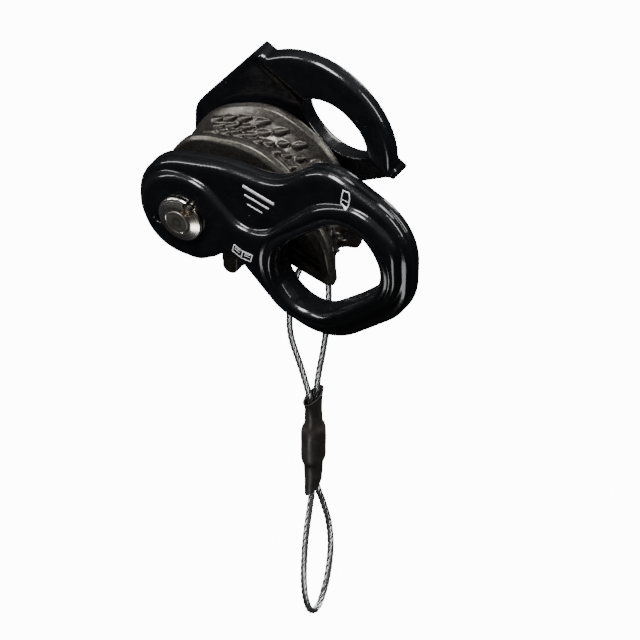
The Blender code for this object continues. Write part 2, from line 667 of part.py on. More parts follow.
def build_cable(group, cutters, pivot, materials):
    wire_along("release_cable", smooth_route(cable_route(), 3.4), WIRE_RADIUS, group, pivot,
               materials["galvanised_wire"])
    place = (27.1, CABLE_DEPTH)
    top, bottom = FERRULE_TOP, FERRULE_BOTTOM
    crimp = level_loft("crimp_ferrule", [
        (bottom, 1.5, 2.5), (bottom + 0.8, 1.95, 2.75), ((top + bottom) / 2, 2.05, 2.75), (top - 0.8, 1.95, 2.75),
        (top, 1.5, 2.5)], place)
    ferrule = add_object("crimp_ferrule", crimp, group, pivot, materials["bright_steel"])
    channel = level_loft("ferrule_channel", [(bottom - 1, 1.05, 2.1), (top + 1, 1.05, 2.1)], place)
    cut(ferrule, hide_cutter(add_object("ferrule_channel", channel, cutters, pivot)))
    tube = level_loft("shrink_sleeve", [
        (SLEEVE_BOTTOM, 1.75, 3.0), (-83.5, 1.8, 2.7), (-79.0, 2.0, 2.8), (-76.6, 2.5, 3.3), (-74.0, 2.8, 3.55),
        (-68.0, 2.8, 3.55), (-65.4, 2.5, 3.3), (-63.0, 2.0, 2.7), (-60.0, 1.85, 2.65), (SLEEVE_TOP, 1.9, 3.6)],
        place)
    sleeve = add_object("shrink_sleeve", tube, group, pivot, materials["heat_shrink"])
    hollow = level_loft("sleeve_hollow", [
        (SLEEVE_BOTTOM - 1, 1.3, 2.6), (-83.5, 1.25, 2.2), (-79.0, 1.4, 2.3), (-76.9, 2.2, 3.0),
        (-76.0, 2.3, 3.1), (-66.0, 2.3, 3.1), (-65.1, 2.2, 3.0), (-63.0, 1.45, 2.25), (-60.0, 1.3, 2.2),
        (SLEEVE_TOP + 1, 1.35, 3.2)], place)
    cut(sleeve, hide_cutter(add_object("sleeve_hollow", hollow, cutters, pivot)))


def main():
    clear_scene()
    group = make_collection("rope_clamp")
    cutters = make_collection("cutters")
    materials = {name: make_material(name) for name in MATERIALS}
    axle_place = (-EYE_CENTRE[0], -EYE_DEPTH, -EYE_CENTRE[1])
    root = make_empty("axle_frame", group, place=axle_place)
    shell_pivot = make_empty("shell_pivot", group, root, turn_y=-(CHANNEL_LEAN + SHELL_OPEN))
    cam_pivot = make_empty("cam_pivot", group, root)
    build_front_plate(group, cutters, root, materials["black_coated_alloy"])
    build_back_shell(group, cutters, shell_pivot, materials["black_coated_alloy"])
    build_cam(group, cutters, cam_pivot, materials["cast_steel"])
    build_axle(group, cutters, root, materials)
    build_washers_and_bushes(group, root, cam_pivot, shell_pivot, materials)
    build_spring(group, root, materials["bright_steel"])
    build_cable(group, cutters, cam_pivot, materials)


main()
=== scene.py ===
import math

import bmesh
import bpy
from mathutils import Matrix, Vector, noise
from mathutils.bvhtree import BVHTree


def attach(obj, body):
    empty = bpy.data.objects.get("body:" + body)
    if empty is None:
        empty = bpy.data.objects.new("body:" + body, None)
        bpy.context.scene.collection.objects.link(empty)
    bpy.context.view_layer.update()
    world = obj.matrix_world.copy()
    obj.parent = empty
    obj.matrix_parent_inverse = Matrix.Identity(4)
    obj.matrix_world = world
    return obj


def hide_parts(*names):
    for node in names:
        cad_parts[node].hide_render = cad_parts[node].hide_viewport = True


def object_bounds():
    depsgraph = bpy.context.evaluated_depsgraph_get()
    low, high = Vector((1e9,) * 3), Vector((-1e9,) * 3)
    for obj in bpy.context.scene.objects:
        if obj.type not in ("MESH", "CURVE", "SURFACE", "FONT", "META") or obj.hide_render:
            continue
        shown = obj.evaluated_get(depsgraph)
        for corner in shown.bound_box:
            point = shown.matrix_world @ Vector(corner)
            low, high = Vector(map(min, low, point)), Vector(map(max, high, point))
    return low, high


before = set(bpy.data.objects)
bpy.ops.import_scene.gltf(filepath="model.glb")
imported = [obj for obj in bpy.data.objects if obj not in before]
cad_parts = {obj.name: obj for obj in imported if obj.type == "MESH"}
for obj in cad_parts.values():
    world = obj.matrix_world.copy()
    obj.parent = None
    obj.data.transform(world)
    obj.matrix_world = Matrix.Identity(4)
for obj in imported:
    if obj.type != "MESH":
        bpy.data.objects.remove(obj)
CAD_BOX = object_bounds()

MM = 0.001

# The clamp is drawn about its axle, in millimetres: X to the karabiner eye, depth back from the front
# plate's face, Z up. This is the axle's place in the row frame.
AXLE = Vector((-42.0, -4.0, -1.7))

VIEW_AZIMUTH = 32.5
VIEW_ELEVATION = 39.6
VIEW_WIDTH = 0.1561
# From the axle to the middle of the picture, across and up in the picture.
VIEW_SHIFT = (33.8, -25.0)

FORGED_VOXEL = 0.30
CAST_VOXEL = 0.22


def place(x, depth, z):
    return (AXLE + Vector((x, depth, z))) * MM


def turned(x, z, angle):
    """A place seen from the front, turned anticlockwise about the axle."""
    spin = Matrix.Rotation(math.radians(angle), 2)
    return spin @ Vector((x, z))


# Camera, floor and light.

CAMERA_REACH = 0.6
FLOOR_SIZE = 3.0
FLOOR_GAP = 0.25
FLOOR_GLOW = 12.0
# Name, place, what it points at, size across and up (all in metres), and power in watts.
LIGHTS = (
    ("softbox_top", (-0.10, -0.22, 0.62), (0.0, 0.0, 0.0), (0.34, 0.20), 8.0),
    ("strip_left", (-0.55, -0.25, 0.30), (-0.02, 0.0, 0.0), (0.08, 0.5), 2.5),
    ("strip_right", (0.50, 0.10, 0.35), (0.0, 0.0, 0.0), (0.10, 0.4), 2.5),
    ("softbox_rear", (0.10, 0.55, 0.30), (-0.02, 0.0, 0.0), (0.30, 0.30), 3.0),
    ("card_low_right", (0.10, -0.34, -0.30), (-0.03, 0.0, -0.01), (0.16, 0.16), 0.5),
)


def look_axes():
    a, e = math.radians(VIEW_AZIMUTH), math.radians(VIEW_ELEVATION)
    across = Vector((math.cos(a), math.sin(a), 0.0))
    up = Vector((-math.sin(a) * math.sin(e), math.cos(a) * math.sin(e), math.cos(e)))
    return across, up, across.cross(up)


def build_camera():
    across, up, towards = look_axes()
    aim = AXLE + across * VIEW_SHIFT[0] + up * VIEW_SHIFT[1]
    data = bpy.data.cameras.new("camera")
    data.type = "ORTHO"
    data.ortho_scale = VIEW_WIDTH
    data.clip_start = 0.01
    data.clip_end = 10.0
    camera = bpy.data.objects.new("camera", data)
    bpy.context.scene.collection.objects.link(camera)
    camera.matrix_world = Matrix.Translation(aim * MM + towards * CAMERA_REACH) @ Matrix(
        (across, up, towards)).transposed().to_4x4()
    bpy.context.scene.camera = camera


def area_light(name, spot, aim, size, power):
    data = bpy.data.lights.new(name, "AREA")
    data.shape = "RECTANGLE"
    data.size, data.size_y = size
    data.energy = power
    light = bpy.data.objects.new(name, data)
    light.location = spot
    light.rotation_euler = (Vector(aim) - Vector(spot)).to_track_quat("-Z", "Y").to_euler()
    bpy.context.scene.collection.objects.link(light)


def build_world():
    """A pale studio: bright overhead, darker towards and below the horizon."""
    world = bpy.data.worlds.new("studio")
    bpy.context.scene.world = world
    world.use_nodes = True
    nodes, links = world.node_tree.nodes, world.node_tree.links
    background = nodes["Background"]
    where = nodes.new("ShaderNodeTexCoord")
    split = nodes.new("ShaderNodeSeparateXYZ")
    ramp = nodes.new("ShaderNodeValToRGB")
    links.new(where.outputs["Generated"], split.inputs[0])
    links.new(split.outputs["Z"], ramp.inputs[0])
    links.new(ramp.outputs["Color"], background.inputs["Color"])
    stops = ramp.color_ramp.elements
    stops[0].position, stops[0].color = 0.0, (0.018, 0.018, 0.019, 1)
    stops[1].position, stops[1].color = 1.0, (0.34, 0.34, 0.345, 1)
    middle = stops.new(0.3)
    middle.color = (0.06, 0.06, 0.062, 1)
    background.inputs["Strength"].default_value = 1.0


def build_stage():
    """A glowing floor just under the part, left out of reflections and bounced light, and the lights."""
    build_world()
    mesh = bpy.data.meshes.new("floor")
    shape = bmesh.new()
    bmesh.ops.create_grid(shape, x_segments=2, y_segments=2, size=FLOOR_SIZE)
    shape.to_mesh(mesh)
    shape.free()
    floor = bpy.data.objects.new("floor", mesh)
    floor.location.z = CAD_BOX[0][2] - FLOOR_GAP
    bpy.context.scene.collection.objects.link(floor)
    pale = bpy.data.materials.new("floor_pale")
    pale.use_nodes = True
    shader = pale.node_tree.nodes["Principled BSDF"]
    shader.inputs["Base Color"].default_value = (0.92, 0.92, 0.92, 1)
    shader.inputs["Roughness"].default_value = 0.9
    shader.inputs["Specular IOR Level"].default_value = 0.0
    shader.inputs["Emission Color"].default_value = (1, 1, 1, 1)
    shader.inputs["Emission Strength"].default_value = FLOOR_GLOW
    mesh.materials.append(pale)
    floor.visible_glossy = False
    floor.visible_diffuse = False
    for light in LIGHTS:
        area_light(*light)


# Materials. Every one works in object coordinates, which are metres from the row's origin.

class Surface:
    """A Principled material with helpers for its procedural detail."""

    def __init__(self, name, colour, roughness, metallic=0.0):
        self.material = bpy.data.materials.new(name)
        self.material.use_nodes = True
        self.nodes = self.material.node_tree.nodes
        self.links = self.material.node_tree.links
        self.shader = self.nodes["Principled BSDF"]
        self.shader.inputs["Base Color"].default_value = (*colour, 1)
        self.shader.inputs["Roughness"].default_value = roughness
        self.shader.inputs["Metallic"].default_value = metallic
        coords = self.nodes.new("ShaderNodeTexCoord")
        self.where = coords.outputs["Object"]
        self.height = None

    def set(self, **values):
        for key, value in values.items():
            self.shader.inputs[key.replace("_", " ")].default_value = value
        return self

    def noise(self, scale, detail=3.0, roughness=0.55, where=None):
        node = self.nodes.new("ShaderNodeTexNoise")
        node.inputs["Scale"].default_value = scale
        node.inputs["Detail"].default_value = detail
        node.inputs["Roughness"].default_value = roughness
        self.links.new(where or self.where, node.inputs["Vector"])
        return node.outputs["Fac"]

    def ramp(self, source, low, high, first, last):
        node = self.nodes.new("ShaderNodeMapRange")
        node.inputs["From Min"].default_value = low
        node.inputs["From Max"].default_value = high
        node.inputs["To Min"].default_value = first
        node.inputs["To Max"].default_value = last
        self.links.new(source, node.inputs["Value"])
        return node.outputs["Result"]

    def math(self, operation, a, b):
        node = self.nodes.new("ShaderNodeMath")
        node.operation = operation
        for slot, value in zip(node.inputs, (a, b)):
            if isinstance(value, (int, float)):
                slot.default_value = value
            else:
                self.links.new(value, slot)
        return node.outputs[0]

    def blend(self, share, first, last):
        node = self.nodes.new("ShaderNodeMix")
        node.data_type = "RGBA"
        self.links.new(share, node.inputs["Factor"])
        for slot, value in zip((node.inputs[6], node.inputs[7]), (first, last)):
            if isinstance(value, tuple):
                slot.default_value = (*value, 1)
            else:
                self.links.new(value, slot)
        return node.outputs[2]

    def specks(self, scale, size, share):
        """1 on a few small dots scattered over the surface."""
        node = self.nodes.new("ShaderNodeTexVoronoi")
        node.inputs["Scale"].default_value = scale
        self.links.new(self.where, node.inputs["Vector"])
        split = self.nodes.new("ShaderNodeSeparateColor")
        self.links.new(node.outputs["Color"], split.inputs[0])
        near = self.math("LESS_THAN", node.outputs["Distance"], size)
        chosen = self.math("LESS_THAN", split.outputs[0], share)
        return self.math("MULTIPLY", near, chosen)

    def around_axle(self):
        """A vector of the distance from the axle, for turning marks."""
        split = self.nodes.new("ShaderNodeSeparateXYZ")
        self.links.new(self.where, split.inputs[0])
        x = self.math("SUBTRACT", split.outputs["X"], AXLE.x * MM)
        z = self.math("SUBTRACT", split.outputs["Z"], AXLE.z * MM)
        squares = self.math("ADD", self.math("MULTIPLY", x, x), self.math("MULTIPLY", z, z))
        reach = self.math("SQRT", squares, 0.0)
        join = self.nodes.new("ShaderNodeCombineXYZ")
        self.links.new(reach, join.inputs["X"])
        self.links.new(self.math("MULTIPLY", split.outputs["Y"], 0.6), join.inputs["Y"])
        return join.outputs[0]

    def colour_from(self, source):
        self.links.new(source, self.shader.inputs["Base Color"])
        return self

    def roughness_from(self, source):
        self.links.new(source, self.shader.inputs["Roughness"])
        return self

    def bump(self, source, strength, depth_mm):
        node = self.nodes.new("ShaderNodeBump")
        node.inputs["Strength"].default_value = strength
        node.inputs["Distance"].default_value = depth_mm * MM
        self.links.new(source, node.inputs["Height"])
        if self.height:
            self.links.new(self.height, node.inputs["Normal"])
        self.height = node.outputs["Normal"]
        self.links.new(self.height, self.shader.inputs["Normal"])
        return self


def coated_alloy():
    """Forged alloy under a black hard coat: satin-gloss, with a little orange peel, and glints painted into
    its colour as lighter specks.
    """
    s = Surface("black_hard_coat", (0.004, 0.0042, 0.005), 0.20)
    s.set(Coat_Weight=0.15, Coat_Roughness=0.06, Specular_IOR_Level=0.45)
    base = s.blend(s.ramp(s.noise(220.0, 4.0), 0.35, 0.7, 0.0, 1.0),
                   (0.0028, 0.0030, 0.0036), (0.0046, 0.0050, 0.0060))
    # Painted glints: two sets of small specks are lightened in the base colour to stand in for the coat's
    # sparkle of light.
    painted_glints = s.specks(1700.0, 0.20, 0.05)
    dots = s.specks(420.0, 0.06, 0.07)
    base = s.blend(painted_glints, base, (0.014, 0.017, 0.023))
    s.colour_from(s.blend(dots, base, (0.11, 0.115, 0.13)))
    s.roughness_from(s.ramp(s.noise(2600.0, 2.0), 0.3, 0.7, 0.13, 0.24))
    s.bump(s.noise(1900.0, 2.0), 0.10, 0.008)
    s.bump(s.noise(330.0, 2.0), 0.06, 0.03)
    return s.material


def cast_steel():
    """Investment-cast stainless steel: brownish grey, sandy grain, with lighter patches scattered at random.
    """
    s = Surface("cast_steel", (0.08, 0.075, 0.065), 0.36, 0.85)
    worn = s.ramp(s.noise(130.0, 5.0), 0.35, 0.68, 0.0, 1.0)
    grain = s.ramp(s.noise(1700.0, 4.0, 0.7), 0.34, 0.66, 0.0, 1.0)
    patches = s.math("ADD", s.math("MULTIPLY", worn, 0.35), s.math("MULTIPLY", grain, 0.65))
    base = s.blend(patches, (0.036, 0.032, 0.027), (0.125, 0.117, 0.104))
    grit = s.specks(2300.0, 0.30, 0.18)
    s.colour_from(s.blend(grit, base, (0.028, 0.024, 0.019)))
    s.roughness_from(s.ramp(s.noise(900.0, 4.0), 0.3, 0.7, 0.28, 0.44))
    s.bump(s.noise(1900.0, 4.0), 0.60, 0.05)
    s.bump(s.noise(420.0, 3.0), 0.25, 0.10)
    return s.material


def nickelled_steel():
    """Bright nickel on turned steel, with turning marks and a faint brown tint in places."""
    s = Surface("nickelled_steel", (0.70, 0.67, 0.61), 0.20, 1.0)
    rings = s.around_axle()
    tint = s.ramp(s.noise(240.0, 3.0), 0.45, 0.72, 0.0, 1.0)
    s.colour_from(s.blend(tint, (0.84, 0.81, 0.75), (0.62, 0.54, 0.42)))
    s.roughness_from(s.ramp(s.noise(5200.0, 2.0, where=rings), 0.3, 0.7, 0.13, 0.32))
    s.bump(s.noise(6500.0, 3.0, where=rings), 0.40, 0.020)
    s.bump(s.noise(700.0, 2.0), 0.08, 0.03)
    return s.material


def machined_steel():
    """The axle's faced end: darker, with fine concentric marks."""
    s = Surface("machined_steel", (0.20, 0.19, 0.17), 0.38, 0.95)
    rings = s.around_axle()
    s.colour_from(s.blend(s.ramp(s.noise(4200.0, 3.0, where=rings), 0.35, 0.65, 0.0, 1.0),
                          (0.15, 0.14, 0.12), (0.30, 0.285, 0.25)))
    s.roughness_from(s.ramp(s.noise(900.0, 3.0), 0.3, 0.7, 0.32, 0.48))
    s.bump(s.noise(5200.0, 2.0, where=rings), 0.55, 0.022)
    return s.material


def bronze():
    s = Surface("sintered_bronze", (0.45, 0.30, 0.14), 0.40, 0.95)
    s.colour_from(s.blend(s.ramp(s.noise(900.0, 4.0), 0.35, 0.65, 0.0, 1.0),
                          (0.34, 0.22, 0.10), (0.55, 0.38, 0.19)))
    s.roughness_from(s.ramp(s.noise(1500.0, 2.0), 0.3, 0.7, 0.32, 0.50))
    s.bump(s.specks(2600.0, 0.35, 0.4), 0.30, 0.02)
    return s.material


def spring_steel():
    s = Surface("spring_steel", (0.55, 0.54, 0.52), 0.26, 1.0)
    s.roughness_from(s.ramp(s.noise(1200.0, 3.0), 0.3, 0.7, 0.20, 0.36))
    s.bump(s.noise(3000.0, 2.0), 0.2, 0.01)
    return s.material


def wire_rope_steel():
    """Galvanised wire: pale zinc grey, brighter and darker along its length."""
    s = Surface("galvanised_wire", (0.52, 0.54, 0.54), 0.30, 0.95)
    s.colour_from(s.blend(s.ramp(s.noise(260.0, 3.0), 0.35, 0.65, 0.0, 1.0),
                          (0.40, 0.42, 0.42), (0.72, 0.73, 0.73)))
    s.roughness_from(s.ramp(s.noise(1600.0, 3.0), 0.3, 0.7, 0.15, 0.30))
    s.bump(s.noise(5000.0, 2.0), 0.25, 0.012)
    return s.material


def heat_shrink():
    """Shrunk polyolefin: brown-black, soft sheen, lightly scuffed."""
    s = Surface("heat_shrink", (0.022, 0.018, 0.0155), 0.42)
    s.set(Specular_IOR_Level=0.45)
    s.colour_from(s.blend(s.ramp(s.noise(380.0, 4.0), 0.4, 0.7, 0.0, 1.0),
                          (0.017, 0.0142, 0.0125), (0.031, 0.0265, 0.0225)))
    scuffs = s.specks(900.0, 0.16, 0.10)
    s.roughness_from(s.math("ADD", s.ramp(s.noise(1100.0, 3.0), 0.3, 0.7, 0.36, 0.50),
                            s.math("MULTIPLY", scuffs, 0.2)))
    s.bump(s.noise(520.0, 3.0), 0.35, 0.06)
    return s.material


def white_ink():
    s = Surface("white_ink", (0.78, 0.78, 0.77), 0.5)
    s.colour_from(s.blend(s.ramp(s.noise(1800.0, 3.0), 0.42, 0.6, 0.0, 1.0),
                          (0.80, 0.80, 0.79), (0.60, 0.60, 0.60)))
    s.roughness_from(s.ramp(s.noise(1500.0, 2.0), 0.3, 0.7, 0.42, 0.58))
    s.bump(s.noise(2600.0, 2.0), 0.2, 0.01)
    return s.material


# Mesh helpers.

def add_piece(name, mesh, body, material, replaced=None):
    obj = bpy.data.objects.new(name, mesh)
    bpy.context.scene.collection.objects.link(obj)
    mesh.materials.clear()
    mesh.materials.append(material)
    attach(obj, body)
    if replaced:
        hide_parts(replaced)
    return obj


def applied(obj):
    """The mesh an object shows, with its modifiers applied."""
    depsgraph = bpy.context.evaluated_depsgraph_get()
    return bpy.data.meshes.new_from_object(obj.evaluated_get(depsgraph))


def as_mesh(shape, name):
    """The bmesh as a smooth-shaded mesh; the bmesh is used up."""
    mesh = bpy.data.meshes.new(name)
    shape.to_mesh(mesh)
    shape.free()
    mesh.shade_smooth()
    return mesh


def softened(node, name, voxel, passes):
    """A node's solid as one even skin, with its edges rolled over as forging or casting leaves them."""
    source = bpy.data.objects.new(name + "_work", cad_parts[node].data.copy())
    bpy.context.scene.collection.objects.link(source)
    remesh = source.modifiers.new("Skin", "REMESH")
    remesh.mode = "VOXEL"
    remesh.voxel_size = voxel * MM
    smooth = source.modifiers.new("Soften", "SMOOTH")
    smooth.factor = 0.5
    smooth.iterations = passes
    mesh = applied(source)
    bpy.data.objects.remove(source)
    mesh.name = name
    mesh.shade_smooth()
    return mesh


def lathe(name, profile, sides=160):
    """A closed profile of (radius, depth) turned about the axle."""
    shape = bmesh.new()
    rings = []
    for k in range(sides):
        turn = 2 * math.pi * k / sides
        rings.append([shape.verts.new(place(r * math.cos(turn), depth, r * math.sin(turn)))
                      for r, depth in profile])
    for k in range(sides):
        here, there = rings[k], rings[(k + 1) % sides]
        for i in range(len(profile)):
            j = (i + 1) % len(profile)
            shape.faces.new((here[i], here[j], there[j], there[i]))
    bmesh.ops.remove_doubles(shape, verts=shape.verts, dist=1e-7)
    bmesh.ops.recalc_face_normals(shape, faces=shape.faces)
    mesh = as_mesh(shape, name)
    mesh.set_sharp_from_angle(angle=math.radians(50))
    return mesh


def softened_profile(corners, cut, steps=4):
    """A closed profile with each corner rounded by a short arc."""
    points = []
    for i, corner in enumerate(corners):
        here = Vector(corner)
        before = Vector(corners[i - 1]) - here
        after = Vector(corners[(i + 1) % len(corners)]) - here
        if here.x < 1e-6:
            points.append(here)
            continue
        reach = min(cut, before.length * 0.45, after.length * 0.45)
        start, end = here + before.normalized() * reach, here + after.normalized() * reach
        for k in range(steps + 1):
            t = k / steps
            points.append(start * (1 - t) ** 2 + here * 2 * t * (1 - t) + end * t ** 2)
    return [(p.x, p.y) for p in points]


def spline(a, b, c, d, t):
    """A place between b and c, on the smooth curve through a, b, c and d."""
    return 0.5 * (2 * b + (c - a) * t + (2 * a - 5 * b + 4 * c - d) * t ** 2
                  + (3 * b - a - 3 * c + d) * t ** 3)


def smooth_route(controls, spacing):
    """Evenly spaced points on a smooth curve through the control points."""
    dense = []
    knots = [controls[0], *controls, controls[-1]]
    for p0, p1, p2, p3 in zip(knots, knots[1:], knots[2:], knots[3:]):
        a, b, c, d = (Vector(p) for p in (p0, p1, p2, p3))
        for k in range(24):
            dense.append(spline(a, b, c, d, k / 24))
    dense.append(Vector(controls[-1]))
    route = [dense[0]]
    for here, there in zip(dense, dense[1:]):
        step = there - here
        walked = 0.0
        while step.length > 0 and (there - route[-1]).length >= spacing and walked < step.length:
            route.append(route[-1] + (there - route[-1]).normalized() * spacing)
            walked += spacing
    return route


# The forged and cast pieces.

EYE_MIDDLE = (41.6, 1.3)
EYE_HALF_LENGTH = 17.15
EYE_HALF_WIDTH = 10.0
EYE_TILT = 42.0
EYE_ROUND = 9.7
BEAD_RISE = 0.35
GROOVE_SINK = 0.45
PARTING_RISE = 0.32
PARTING_DEPTH = 5.1
BOSS_REACH = 5.5


def bell(value, middle, width):
    return math.exp(-((value - middle) / width) ** 2)


def eye_distance(x, z):
    """How far outside the eye's outline a place is, seen from the front."""
    along, across = turned(x - EYE_MIDDLE[0], z - EYE_MIDDLE[1], -EYE_TILT)
    a = abs(along) - EYE_HALF_LENGTH + EYE_ROUND
    b = abs(across) - EYE_HALF_WIDTH + EYE_ROUND
    return math.hypot(max(a, 0.0), max(b, 0.0)) + min(max(a, b), 0.0) - EYE_ROUND


def detail_plate(mesh):
    """The forging's finer lines: the bead round the eye with its groove, and the parting line."""
    normals = [vertex.normal.copy() for vertex in mesh.vertices]
    for vertex, normal in zip(mesh.vertices, normals):
        local = vertex.co / MM - AXLE
        gap = eye_distance(local.x, local.z)
        if normal.y < -0.25 and gap > -1.0:
            rise = BEAD_RISE * bell(gap, 1.0, 1.1) - GROOVE_SINK * bell(gap, 2.9, 0.5)
            vertex.co.y -= rise * MM
        elif abs(normal.y) < 0.4 and gap > 3.0 and math.hypot(local.x, local.z) > BOSS_REACH:
            vertex.co -= normal * PARTING_RISE * bell(local.y, PARTING_DEPTH, 0.42) * MM


TEETH_BAND = (12.2, 21.2)
TEETH_GAIN = 0.9
TEETH_REACH = 14.0


def sharpen_teeth(mesh, blurred):
    """Draws the cam's teeth out to points, away from the same skin with its teeth smoothed off."""
    low, high = TEETH_BAND
    for vertex, flat in zip(mesh.vertices, blurred.vertices):
        local = vertex.co / MM - AXLE
        if low < local.y < high and math.hypot(local.x, local.z) > TEETH_REACH:
            rise = vertex.co - flat.co
            ramp = min(local.y - low, high - local.y, 1.0)
            vertex.co += rise * TEETH_GAIN * ramp
    bpy.data.meshes.remove(blurred)


def build_forgings(materials):
    plate = softened("front_plate", "front_plate_forged", FORGED_VOXEL, 10)
    detail_plate(plate)
    add_piece("front_plate_forged", plate, "frame", materials["coated_alloy"], "front_plate")
    shell = softened("back_shell", "back_shell_forged", FORGED_VOXEL, 12)
    add_piece("back_shell_forged", shell, "shell", materials["coated_alloy"], "back_shell")
    cam = softened("cam", "cam_cast", CAST_VOXEL, 2)
    sharpen_teeth(cam, softened("cam", "cam_blurred", CAST_VOXEL, 60))
    add_piece("cam_cast", cam, "cam_body", materials["cast_steel"], "cam")
    return plate


# The axle's turned ends.

COLLAR_RADIUS = 6.2
COLLAR_HEIGHT = 2.2
TIP_RADIUS = 3.05
AXLE_RADIUS = 4.0
REAR_HEAD = 30.3
RECESS_REACH = 5.1
RECESS_ANGLE = 60.0
RECESS_RADIUS = 1.7


def build_axle_ends(materials):
    tip = -COLLAR_HEIGHT
    axle = softened_profile([
        (0.0, tip), (TIP_RADIUS, tip), (TIP_RADIUS, -0.1), (AXLE_RADIUS, -0.1),
        (AXLE_RADIUS, REAR_HEAD + 0.1), (TIP_RADIUS, REAR_HEAD + 0.1), (TIP_RADIUS, REAR_HEAD + 1.95),
        (0.0, REAR_HEAD + 1.95)], 0.25)
    add_piece("axle_turned", lathe("axle_turned", axle), "frame",
              materials["machined_steel"], "axle_pin")
    collar = softened_profile([
        (TIP_RADIUS + 0.1, tip + 0.12), (TIP_RADIUS + 0.75, tip + 0.12), (COLLAR_RADIUS - 0.1, -0.95),
        (COLLAR_RADIUS, -0.3), (TIP_RADIUS + 0.1, -0.3)], 0.3)
    obj = bpy.data.objects.new("collar_work", lathe("collar_work", collar))
    bpy.context.scene.collection.objects.link(obj)
    drill = bmesh.new()
    bmesh.ops.create_cone(drill, cap_ends=True, segments=48, radius1=RECESS_RADIUS * MM,
                          radius2=RECESS_RADIUS * MM, depth=6 * MM)
    spot = turned(RECESS_REACH, 0.0, RECESS_ANGLE)
    bmesh.ops.transform(drill, matrix=Matrix.Translation(place(spot.x, 0.0, spot.y))
                        @ Matrix.Rotation(math.pi / 2, 4, "X"), verts=drill.verts)
    drill_mesh = bpy.data.meshes.new("drill")
    drill.to_mesh(drill_mesh)
    drill.free()
    cutter = bpy.data.objects.new("drill", drill_mesh)
    bpy.context.scene.collection.objects.link(cutter)
    boolean = obj.modifiers.new("Recess", "BOOLEAN")
    boolean.operation = "DIFFERENCE"
    boolean.object = cutter
    mesh = applied(obj)
    bpy.data.objects.remove(obj)
    bpy.data.objects.remove(cutter)
    mesh.shade_smooth()
    mesh.set_sharp_from_angle(angle=math.radians(40))
    add_piece("axle_collar_turned", mesh, "frame", materials["nickelled_steel"],
              "axle_collar")
    rear = softened_profile([
        (TIP_RADIUS + 0.1, REAR_HEAD + 0.3), (AXLE_RADIUS + 0.2, REAR_HEAD + 0.3),
        (AXLE_RADIUS + 0.2, REAR_HEAD), (COLLAR_RADIUS + 0.4, REAR_HEAD),
        (COLLAR_RADIUS + 0.4, REAR_HEAD + 0.4), (TIP_RADIUS + 0.7, REAR_HEAD + 1.8),
        (TIP_RADIUS + 0.1, REAR_HEAD + 1.8)], 0.2)
    add_piece("rear_collar_turned", lathe("rear_collar_turned", rear), "frame",
              materials["nickelled_steel"], "rear_collar")


# The release loop: a wire rope of six strands, its ferrule and its shrink sleeve.

WIRE_RADIUS = 0.82
CABLE_DEPTH = 17.4
CABLE_EXIT = (27.2, -10.2)
CABLE_ARCH = 4.0
STRAND_SPACING = 1.9
STRANDS = 6
LAY_LENGTH = 12.0
ROUTE_STEP = 0.4
SLEEVE_SPOT = (27.1, 17.4)
# The sleeve from its bottom up: height, half its width and half its depth.
SLEEVE = [
    (-86.2, 1.75, 2.9), (-85.2, 1.8, 2.85), (-83.5, 1.85, 2.75), (-79.0, 2.1, 2.8), (-77.0, 2.25, 2.95),
    (-76.2, 2.62, 3.35), (-75.2, 2.82, 3.55), (-74.0, 2.85, 3.6), (-68.0, 2.85, 3.6), (-66.9, 2.8, 3.55),
    (-66.0, 2.6, 3.35), (-65.0, 2.15, 2.9), (-63.0, 1.95, 2.7), (-60.0, 1.85, 2.75), (-58.0, 1.85, 3.1),
    (-56.4, 1.95, 3.7),
]
SLEEVE_WALL = 0.45


def cable_route():
    """From inside the ferrule up the front strand, through the cam, down the rear strand, through the
    ferrule and round the finger loop, back into the ferrule: (x, depth, z)."""
    x, z = CABLE_EXIT
    front, rear = CABLE_DEPTH - STRAND_SPACING / 2, CABLE_DEPTH + STRAND_SPACING / 2
    middle = SLEEVE_SPOT[0]
    up = [
        (middle, front, -70.6), (middle, front, -64.0), (26.8, front - 0.2, -57.0), (25.5, 14.6, -47.0),
        (23.9, 12.5, -36.5), (23.6, 12.0, -29.5), (24.0, 12.3, -22.0), (25.2, 12.9, -16.0),
    ]
    arch = []
    for k in range(7):
        turn = math.pi * (1 - k / 6)
        arch.append((x, CABLE_DEPTH + CABLE_ARCH * math.cos(turn), z + CABLE_ARCH * math.sin(turn)))
    down = [
        (27.9, 21.5, -17.0), (28.8, 21.6, -25.0), (28.8, 21.1, -34.0), (28.2, 20.2, -43.0),
        (27.5, 19.0, -51.0), (middle, rear + 0.1, -58.0), (middle, rear, -64.0), (middle, rear, -76.0),
    ]
    loop = [
        (27.4, rear + 0.1, -85.0), (27.8, 20.6, -92.0), (28.0, 22.9, -100.0), (28.1, 23.6, -108.0),
        (28.1, 22.2, -116.0), (28.1, 19.4, -121.6), (28.1, 16.6, -123.2), (28.1, 13.8, -120.8),
        (28.0, 12.0, -114.6), (28.0, 11.6, -107.0), (27.9, 12.6, -98.0), (27.7, 14.6, -90.6),
        (27.4, front - 0.1, -85.0), (27.1, front, -78.0), (27.0, front, -71.6),
    ]
    return up + arch + down + loop


def strand_outline(turn, points=36):
    """The rope's section: six round strands side by side, turned round its middle."""
    strand = WIRE_RADIUS / 3
    ring = WIRE_RADIUS - strand
    sector = 2 * math.pi / STRANDS
    section = []
    for k in range(points):
        angle = 2 * math.pi * k / points
        local = (angle + sector / 2) % sector - sector / 2
        reach = ring * math.cos(local) + math.sqrt(max(strand ** 2 - (ring * math.sin(local)) ** 2, 0.0))
        section.append((reach * math.cos(angle + turn), reach * math.sin(angle + turn)))
    return section


